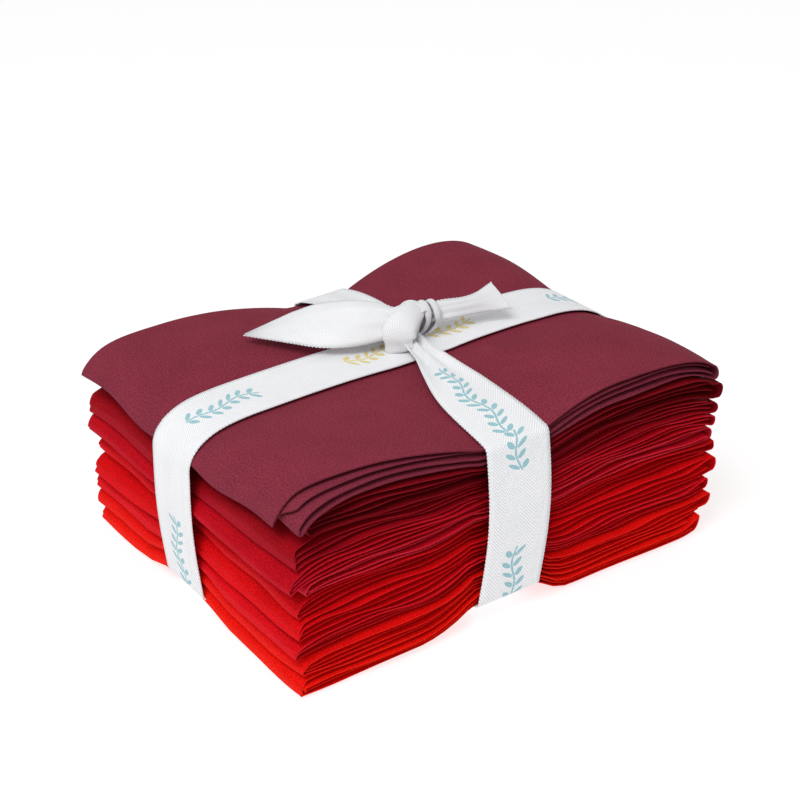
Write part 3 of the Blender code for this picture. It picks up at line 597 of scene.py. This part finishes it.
# The knot's wraps, each a rounded band on a route over that core. A row is the middle of its outer face
# in mm, with the rise above the tape under the knot, its half width, and how far its edges fall behind
# its middle. First comes the smooth one over the left tail, then the hollow beside it, two ridges, and
# two wraps behind.
WRAP_COLUMNS = ("x", "y", "rise", "half_width", "fullness")
WRAPS = (
    ((20.0, 8.5, 10.5, 3.2, 3.0), (14.5, 3.9, 13.4, 4.0, 3.4), (7.2, 0.0, 13.0, 5.2, 3.8),
     (2.0, -2.5, 10.6, 6.2, 3.8), (-0.1, -3.4, 6.8, 6.3, 3.2), (0.2, -3.2, 3.3, 5.2, 2.4),
     (0.9, -3.0, 0.6, 5.6, 2.0), (3.4, -1.0, -1.2, 5.4, 1.6)),
    ((18.4, 10.0, 9.5, 4.4, 1.6), (17.0, 5.4, 12.0, 4.6, 1.6), (14.8, 2.4, 10.4, 5.0, 1.8),
     (13.8, 1.9, 6.8, 5.0, 1.8), (13.2, 2.9, 2.8, 4.6, 1.6), (12.4, 5.0, 0.0, 4.0, 1.4)),
    ((19.5, 10.0, 8.0, 1.8, 2.0), (18.6, 5.6, 13.1, 1.9, 2.0), (18.3, 2.3, 12.1, 1.9, 2.0),
     (18.0, 0.5, 9.2, 1.9, 2.0), (17.4, 1.8, 5.2, 1.8, 1.8), (16.2, 3.8, 2.3, 1.6, 1.6),
     (14.6, 6.0, 0.0, 1.4, 1.4)),
    ((23.4, 10.0, 7.0, 1.8, 2.2), (22.6, 5.4, 12.3, 1.9, 2.2), (22.4, 1.9, 11.1, 2.0, 2.2),
     (22.0, 0.0, 8.2, 2.0, 2.2), (21.6, 1.5, 4.7, 1.8, 2.0), (19.6, 3.6, 1.8, 1.6, 1.6),
     (17.4, 6.0, 0.0, 1.4, 1.4)),
    ((9.0, 0.0, 11.0, 5.0, 3.0), (8.6, 6.0, 13.2, 6.0, 3.2), (8.2, 11.6, 11.0, 6.4, 3.4),
     (8.4, 14.6, 6.0, 6.0, 3.0), (9.0, 15.0, 1.6, 5.4, 2.2), (9.4, 12.0, -1.0, 5.0, 1.6)),
    ((17.6, 1.0, 10.6, 3.6, 2.4), (17.2, 6.6, 12.4, 4.2, 2.6), (16.8, 11.4, 10.0, 4.4, 2.8),
     (16.2, 13.8, 5.6, 4.2, 2.4), (15.4, 14.0, 1.4, 3.8, 2.0), (14.6, 11.6, -1.0, 3.6, 1.6)),
)
WRAP_STEPS, WRAP_ROUNDNESS = 56, 2.6

# The tails, in mm above the tape under the knot: front edge, back edge, arch and pleat of each row
TAIL_COLUMNS = ("front_x", "front_y", "front_rise", "back_x", "back_y", "back_rise", "arch", "pleat")
LEFT_TAIL = (
    (8.0, 1.0, 5.5, 9.0, 6.0, 11.6, 1.5, 0.8),
    (2.0, 1.6, 4.8, 5.4, 10.0, 13.4, 2.0, 0.7),
    (-3.5, 2.6, 4.4, 2.2, 14.0, 14.4, 2.4, 0.5),
    (-14.3, 6.0, 3.8, -4.7, 21.0, 14.8, 2.8, 0.3),
    (-24.0, 12.6, 3.8, -12.6, 31.1, 12.2, 2.2, 0.15),
    (-32.5, 24.0, 4.2, -22.2, 35.6, 9.6, 1.2, 0.05),
    (-42.6, 37.8, 4.9, -41.6, 38.4, 5.2, 0.1, 0.0),
)
RIGHT_TAIL = (
    (17.0, 3.4, 5.4, 19.0, 9.0, 10.0, 0.6, 0.5),
    (24.0, 0.6, 5.8, 27.5, 7.6, 10.6, 1.2, 0.45),
    (33.2, -1.0, 5.6, 35.2, 4.6, 10.6, 1.5, 0.3),
    (40.9, -3.0, 5.6, 41.0, 3.9, 11.0, 1.4, 0.15),
    (46.0, -5.8, 5.8, 45.0, 4.2, 11.8, 1.2, 0.05),
    (49.6, -8.2, 6.5, 49.7, 5.1, 12.8, 0.4, 0.0),
)
TAIL_STEPS, TAIL_PLEATS, WIDTH_STEPS = 44, 3, 15
offsets = np.linspace(-0.5, 0.5, WIDTH_STEPS) * TAPE_WIDTH


def nose(piece, low, high, y, side):
    """The rounded end that the tape bends over: its middle and its half size, each in x and in level."""
    out = piece["left"] if side < 0 else piece["right"]
    tip = side * (HALF_LENGTH + out * MM - lip_pinch(y)) + piece["skew"] * MM * y / HALF_DEPTH
    reach = (high - low) * CROWN / 4
    return tip - side * reach, (low + high) / 2, reach, (high - low) / 2


def stacked(x, y, z):
    return np.stack(np.broadcast_arrays(x, y, z), axis=-1)


def curves(table, steps):
    """Smooth curves through the columns of a table, whose rows are one step apart."""
    return smooth([(number, *row) for number, row in enumerate(table)], steps)


def named(columns, rows):
    """The columns of such rows by name, in metres, each one wide across the tape."""
    return dict(zip(columns, rows.T[..., None] * MM))


def straight(start, end, bow):
    """Rows between two bends, bowed outward, without the two ends."""
    t = np.linspace(0, 1, FACE_STEPS)[1:-1, None, None]
    return start + (end - start) * t + np.array(bow) * np.sin(np.pi * t)


def side_bend(side, under):
    """Rows of the bend over the fold at one X end of the top cloth, or of the lowest one."""
    y = ALONG_Y + offsets
    index = 0 if under else -1
    x, middle, reach, half = nose(pieces[index], *spans[index], y, side)
    angle = np.linspace(0, math.pi / 2, BEND_STEPS)[:, None] + (math.pi / 2 if under else 0)
    x = x + side * (reach + TAPE_LIFT) * np.sin(angle)
    return stacked(x, y, lie(x, y, middle + (half + TAPE_LIFT / CROWN) * np.cos(angle)))


def tape_along():
    """The tape round the pile along X."""
    left_top, right_top = side_bend(-1, False), side_bend(1, False)
    left_under, right_under = side_bend(-1, True), side_bend(1, True)
    t = np.linspace(0, 1, TOP_STEPS)[1:-1, None]
    x = left_top[0, :, 0] + (right_top[0, :, 0] - left_top[0, :, 0]) * t
    y = ALONG_Y + offsets
    top = stacked(x, y, lie(x, y, 1) + TAPE_LIFT)
    t = np.linspace(0, 1, UNDER_STEPS)[1:-1, None]
    x = right_under[-1, :, 0] + (left_under[-1, :, 0] - right_under[-1, :, 0]) * t
    under = stacked(x, y, lie(x, y, 0) - TAPE_LIFT)
    right_face = straight(right_top[-1], right_under[0], (RIGHT_BOW, 0, 0))
    left_face = straight(left_under[0], left_top[-1], (-LEFT_BOW, 0, 0))
    return np.concatenate([top, right_top, right_face, right_under, under, left_under[::-1], left_face,
                           left_top[::-1]])


def end_bend(side, under):
    """Rows of the bend over the ends of the layers, in front or behind."""
    level, index, up = (0, 0, -1) if under else (1, -1, 1)
    gathered = ACROSS_GATHER[-1][1] * MM / TAPE_WIDTH if side > 0 and not under else 1
    x = across_x(side * HALF_DEPTH, level) + offsets * gathered
    face = end_y(side, x, level, pieces[index]["front" if side < 0 else "back"] * MM)
    if side < 0 and not under:
        face = face + FRONT_LEAN
    angle = np.linspace(0, math.pi / 2, BEND_STEPS)[:, None]
    y = face + side * (BEND_RADIUS * np.sin(angle) - BEND_INSET)
    return stacked(x, y, lie(x, face, level) + up * (BEND_RADIUS * np.cos(angle) - BEND_INSET))


def tape_across():
    """The tape round the pile along Y, gathered where it goes into the knot."""
    back_top, front_top = end_bend(1, False), end_bend(-1, False)
    back_under, front_under = end_bend(1, True), end_bend(-1, True)
    t = np.linspace(0, 1, TOP_STEPS)[1:-1, None]
    y = front_top[0, :, 1] + (back_top[0, :, 1] - front_top[0, :, 1]) * t
    width, lift = np.moveaxis(smooth(ACROSS_GATHER, y / MM) * MM, -1, 0)
    share = offsets / TAPE_WIDTH
    gathered = 1 - width / TAPE_WIDTH
    pleat = gathered * GATHER_PLEAT * np.cos(2 * np.pi * GATHER_PLEATS * share)
    x = across_x(y, 1) + share * width
    top = stacked(x, y, lie(x, y, 1) + lift + pleat)
    t = np.linspace(0, 1, UNDER_STEPS)[1:-1, None]
    y = back_under[0, :, 1] + (front_under[0, :, 1] - back_under[0, :, 1]) * t
    x = across_x(y, 0) + offsets
    under = stacked(x, y, lie(x, y, 0) - TAPE_LIFT - CROSSING_DROP)
    back_face = straight(back_top[-1], back_under[-1], (0, FRONT_BOW, 0))
    front_face = straight(front_under[-1], front_top[-1], (FRONT_BOW_X, -FRONT_BOW, 0))
    return np.concatenate([top, back_top, back_face, back_under[::-1], under, front_under, front_face,
                           front_top[::-1]])


def lengths(points, closed):
    """Places along and across a grid of points, measured on it."""
    looped = np.concatenate([points, points[:1]]) if closed else points
    along = np.append(0, np.cumsum(np.linalg.norm(np.diff(looped, axis=0), axis=2).mean(axis=1)))
    across = np.append(0, np.cumsum(np.linalg.norm(np.diff(points, axis=1), axis=2).max(axis=0)))
    return np.meshgrid(along, across * TAPE_WIDTH / across[-1], indexing="ij")


def wrap(route, base):
    """One wrap of the knot: a rounded band along its route, bulging away from the core."""
    row = named(WRAP_COLUMNS, curves(route, np.linspace(0, len(route) - 1, WRAP_STEPS)))
    middle = stacked(row["x"], row["y"], row["rise"])
    ahead = np.gradient(middle, axis=0)
    ahead = ahead / np.linalg.norm(ahead, axis=2, keepdims=True)
    out = middle - CORE
    out = out - ahead * np.sum(out * ahead, axis=2, keepdims=True)
    out = out / np.linalg.norm(out, axis=2, keepdims=True)
    side = np.sin(np.linspace(-math.pi / 2, math.pi / 2, len(offsets)))[None, :, None]
    bulge = (1 - np.abs(side) ** WRAP_ROUNDNESS) ** (1 / WRAP_ROUNDNESS)
    across = np.cross(ahead, out) * row["half_width"][..., None] * side
    return middle + across + out * row["fullness"][..., None] * (bulge - 1) + np.array([0, 0, base])


def tail(table, base):
    """A free tail: a band between its two edges, arched and pleated."""
    steps, last = np.linspace(0, len(table) - 1, TAIL_STEPS), len(table) - 2
    cut = np.clip(steps - last, 0, 1)[:, None] * (np.array(table[-1]) - np.array(table[-2]))
    row = named(TAIL_COLUMNS, curves(table[:-1], steps) + cut)
    front = stacked(row["front_x"], row["front_y"], row["front_rise"])
    back = stacked(row["back_x"], row["back_y"], row["back_rise"])
    share = (offsets / TAPE_WIDTH + 0.5)[None, :, None]
    ahead = np.gradient((front + back) / 2, axis=0)
    up = np.cross(ahead, back - front)
    up = up / np.linalg.norm(up, axis=2, keepdims=True)
    up = up * np.sign(up[..., 2:])
    arch, pleat = row["arch"][..., None], row["pleat"][..., None]
    rise = arch * 4 * share * (1 - share) + pleat * np.sin(2 * np.pi * TAIL_PLEATS * share)
    return front + (back - front) * share + up * rise + np.array([0, 0, base])


TWILL_PITCH, TWILL_COLUMN, TWILL_SLOPE, TWILL_WAVER = 1.3 * MM, 6.75 * MM, 1.15, 0.5 * MM
WARP_PITCH = 0.5 * MM
WAVER_SCALE, SOIL_SCALE = 220, 60
RIB_TONE, WARP_TONE, SOIL_TONE, WHITEST = 0.62, 0.1, 0.3, 0.95
WHITE_LOW, WHITE_HIGH = (222, 224, 230), (255, 255, 255)
RIB_RELIEF, WARP_RELIEF, TWILL_ROUGHNESS, SOIL_ROUGHNESS = 0.8, 0.2, 0.72, 0.16
# A sprig of small leaves is printed on stretches of the two straps, in teal or in gold. The knot and the
# tails show the tape's plain side.
STEM_WAVE, STEM_BEND, STEM_HALF = 21 * MM, 1.5 * MM, 0.3 * MM
LEAF_PITCH, LEAF_OUT, LEAF_LONG, LEAF_WIDE, LEAF_LEAN = 4.2 * MM, 2.5 * MM, 1.9 * MM, 1.1 * MM, 0.55
LEAF_EDGE, INK_BETWEEN, INK_ON_RIBS = (1.2, 0.8), 0.55, 0.4    # soft edges, and more ink on the ribs
TEAL, GOLD = (104, 182, 194), (228, 204, 70)
ALONG_START, ACROSS_START, PLAIN_START = 0, 1.0, 2.0    # where each strap's places along the tape begin
PRINT_COLUMNS = ("start", "first", "last", "ink")    # first and last in mm along the strap
ZONE_EDGE = 0.1 * MM
PRINTS = (
    (ALONG_START, 4, 32, TEAL), (ALONG_START, 72, 96, GOLD), (ALONG_START, 110, 129, GOLD),
    (ALONG_START, 168, 182, TEAL), (ALONG_START, 431, 460, TEAL),
    (ACROSS_START, 0, 46, TEAL), (ACROSS_START, 417, 432, TEAL), (ACROSS_START, 364, 388, TEAL),
)


def twill(name):
    """White herringbone twill with its print."""
    made, shader, start = new_material(name)
    place, along, across = place_on_cloth(start)
    zigzag = across.math("PINGPONG", across, TWILL_COLUMN) * TWILL_SLOPE
    slant = along + zigzag + place.noise(WAVER_SCALE) * TWILL_WAVER
    rib = (slant * (2 * math.pi / TWILL_PITCH)).sine() * 0.5 + 0.5
    warp = (across * (2 * math.pi / WARP_PITCH)).sine() * 0.5 + 0.5
    soil = place.noise(SOIL_SCALE, detail=3)
    tone = rib * RIB_TONE + warp * WARP_TONE + soil * SOIL_TONE
    colour = tone.between(0.0, WHITEST).mix(linear(WHITE_LOW), linear(WHITE_HIGH))

    from_stem = across - TAPE_WIDTH / 2 - (along * (2 * math.pi / STEM_WAVE)).sine() * STEM_BEND
    leaf_place = (along.math("FLOOR", along * (1 / LEAF_PITCH)) + 0.5) * LEAF_PITCH
    out = abs(from_stem) - LEAF_OUT
    aside, ahead = (along - leaf_place - out * LEAF_LEAN) * (1 / LEAF_WIDE), out * (1 / LEAF_LONG)
    leaf = aside * aside + ahead * ahead
    ink = leaf.math("MAXIMUM", leaf.between(*LEAF_EDGE), abs(from_stem).between(2 * STEM_HALF, STEM_HALF))
    ink = ink * (INK_BETWEEN + INK_ON_RIBS * rib)
    for row in rows_of(PRINT_COLUMNS, PRINTS):
        first, last = row["start"] + row["first"] * MM, row["start"] + row["last"] * MM
        zone = leaf_place.between(first, first + ZONE_EDGE) * leaf_place.between(last, last - ZONE_EDGE)
        colour = (ink * zone).mix(colour, linear(row["ink"]))
    feed(shader, "Base Color", colour)
    feed(shader, "Roughness", TWILL_ROUGHNESS + SOIL_ROUGHNESS * soil)
    height = rib * RIB_RELIEF + warp * WARP_RELIEF
    relief = height.node("ShaderNodeBump", values={"Strength": 0.8, "Distance": 0.22 * MM, "Height": height})
    feed(shader, "Normal", relief)
    shader.inputs["Sheen Weight"].default_value = 0.15
    return made


SELVEDGE_LOW, SELVEDGE_HIGH = (216, 218, 224), (248, 249, 250)


def selvedge_thread(name):
    """The white weft thread where it turns at the tape's edges."""
    made, shader, start = new_material(name)
    place = start.node("ShaderNodeTexCoord", output=3)
    uneven = place.noise(900, roughness=0.6)
    feed(shader, "Base Color", uneven.mix(linear(SELVEDGE_LOW), linear(SELVEDGE_HIGH)))
    shader.inputs["Roughness"].default_value = 0.8
    return made


PICK_PITCH, PICK_SIZE = 1.45 * MM, (0.3 * MM, 0.3 * MM, 0.62 * MM)    # each loop lies along the edge


def picks(name, lines, finish):
    """The weft's loops along the tape's edges, one at every pick."""
    tree = bpy.data.node_groups.new("selvedge_picks", "GeometryNodeTree")
    inputs = {"Lines": None, "Pitch": PICK_PITCH, "Size": PICK_SIZE, "Finish": finish}
    for label, kind in zip(inputs, ("Geometry", "Float", "Vector", "Material")):
        tree.interface.new_socket(label, in_out="INPUT", socket_type=f"NodeSocket{kind}")
    tree.interface.new_socket("Picks", in_out="OUTPUT", socket_type="NodeSocketGeometry")
    given = tree.nodes.new("NodeGroupInput").outputs
    start = Wire(tree)
    curve = start.node("GeometryNodeMeshToCurve", values={"Mesh": Wire(tree, given["Lines"])})
    points = start.node("GeometryNodeCurveToPoints", {"mode": "LENGTH"},
                        {"Curve": curve, "Length": Wire(tree, given["Pitch"])})
    turned = Wire(tree, points.socket.node.outputs["Rotation"])
    bead = start.node("GeometryNodeMeshIcoSphere", values={"Radius": 1, "Subdivisions": 1})
    placed = start.node("GeometryNodeInstanceOnPoints", values={
        "Points": points, "Instance": bead, "Rotation": turned, "Scale": Wire(tree, given["Size"])})
    real = start.node("GeometryNodeRealizeInstances", values={"Geometry": placed})
    done = start.node("GeometryNodeSetMaterial", values={
        "Geometry": real, "Material": Wire(tree, given["Finish"])})
    tree.links.new(done.socket, tree.nodes.new("NodeGroupOutput").inputs["Picks"])

    mesh = bpy.data.meshes.new(name)
    corners = np.concatenate(lines) + CENTRE
    ends = np.cumsum([len(line) for line in lines])
    edges = [(number, number + 1) for number in range(len(corners) - 1) if number + 1 not in ends]
    mesh.from_pydata(corners.tolist(), edges, [])
    made = bpy.data.objects.new(name, mesh)
    bpy.context.scene.collection.objects.link(made)
    grown = made.modifiers.new("picks", "NODES")
    grown.node_group = tree
    for socket in tree.interface.items_tree:
        if socket.in_out == "INPUT" and inputs[socket.name] is not None:
            grown[socket.identifier] = inputs[socket.name]
    bpy.context.view_layer.update()
    plain = bpy.data.meshes.new_from_object(made.evaluated_get(bpy.context.evaluated_depsgraph_get()))
    made.modifiers.clear()
    made.data = plain
    made.data.shade_smooth()
    return made


base = float(lie(KNOT_X, KNOT_Y, 1)) + 2 * TAPE_LIFT
bands = [(tape_along(), True, ALONG_START), (tape_across(), True, ACROSS_START)]
bands += [(tail(table, base), False, PLAIN_START) for table in (LEFT_TAIL, RIGHT_TAIL)]
edges = [np.concatenate([points[:, side], points[:1, side]]) if closed else points[:, side]
         for points, closed, _ in bands for side in (0, -1)]
bands += [(wrap(route, base), False, PLAIN_START) for route in WRAPS]
patches = []
for points, closed, begin in bands:
    along, across = lengths(points, closed)
    patches.append({"points": points, "along": along + begin, "across": across, "mark": 0.0})
tape = cloth("tied_tape", patches, twill("twill_tape"), TAPE_THICK, 0)
selvedges = picks("tape_selvedges", edges, selvedge_thread("selvedge_thread"))
for part in (tape, selvedges):
    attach(part, "root")
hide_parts("tape")

# --------------------------------------------------------------------------------------------------
# The table under the bundle, the light and the camera. A matt white sheet, a large soft light from the
# upper left, a weak one from the right and a white room, seen through a long lens from the left front.
# --------------------------------------------------------------------------------------------------
TABLE_SIZE = 6.0
TABLE_LOW, TABLE_HIGH = (160, 160, 160), (164, 164, 164)
TABLE_GLOW, ROOM_GLOW = 0.72, 0.55    # the sheet is lit from below, as on a light table
AZIMUTH, ELEVATION, ROLL = math.radians(-33.251), math.radians(26.896), math.radians(-2.245)
DISTANCE, AIM_HEIGHT = 727.8 * MM, 34.1 * MM
PAN_RIGHT, PAN_UP = 1.02 * MM, 17.76 * MM
LENS, SENSOR = 84.67, 36    # mm

bpy.ops.mesh.primitive_plane_add(size=TABLE_SIZE)
floor = bpy.context.object
floor.name = "floor"
made, shader, start = new_material("white_table")
place = start.node("ShaderNodeTexCoord", output=3)
feed(shader, "Base Color", place.noise(30, detail=3).mix(linear(TABLE_LOW), linear(TABLE_HIGH)))
shader.inputs["Roughness"].default_value = 0.9
shader.inputs["Specular IOR Level"].default_value = 0.1
shader.inputs["Emission Color"].default_value = (1, 1, 1, 1)
shader.inputs["Emission Strength"].default_value = TABLE_GLOW
floor.data.materials.append(made)

world = bpy.data.worlds.new("white_room")
bpy.context.scene.world = world
world.use_nodes = True
room = world.node_tree.nodes["Background"]
room.inputs["Color"].default_value = (1.0, 1.0, 1.0, 1)
room.inputs["Strength"].default_value = ROOM_GLOW

LIGHT_COLUMNS = ("name", "size", "watts", "place")
LIGHTS = (("key", 0.7, 9.5, (-0.62, -0.34, 1.15)), ("fill", 1.2, 0.6, (0.5, -0.9, 0.9)))
for row in rows_of(LIGHT_COLUMNS, LIGHTS):
    lamp = bpy.data.lights.new(row["name"], "AREA")
    lamp.size = row["size"]
    lamp.energy = row["watts"]
    light = bpy.data.objects.new(row["name"], lamp)
    bpy.context.scene.collection.objects.link(light)
    light.location = row["place"]
    light.rotation_euler = (Vector((0, 0, AIM_HEIGHT)) - light.location).to_track_quat("-Z", "Y").to_euler()

back = Vector((math.sin(AZIMUTH) * math.cos(ELEVATION), -math.cos(AZIMUTH) * math.cos(ELEVATION),
               math.sin(ELEVATION)))
level_right = Vector((0, 0, 1)).cross(back).normalized()
level_up = back.cross(level_right)
right = level_right * math.cos(ROLL) + level_up * math.sin(ROLL)
up = level_up * math.cos(ROLL) - level_right * math.sin(ROLL)
eye = Vector(CENTRE) + Vector((0, 0, AIM_HEIGHT)) + back * DISTANCE + right * PAN_RIGHT + up * PAN_UP
camera = bpy.data.objects.new("camera", bpy.data.cameras.new("camera"))
camera.data.lens = LENS
camera.data.sensor_width = SENSOR
camera.data.clip_start = 0.01
camera.matrix_world = Matrix.Translation(eye) @ Matrix((right, up, back)).transposed().to_4x4()
bpy.context.scene.collection.objects.link(camera)
bpy.context.scene.camera = camera
bpy.context.scene.view_settings.view_transform = "Standard"
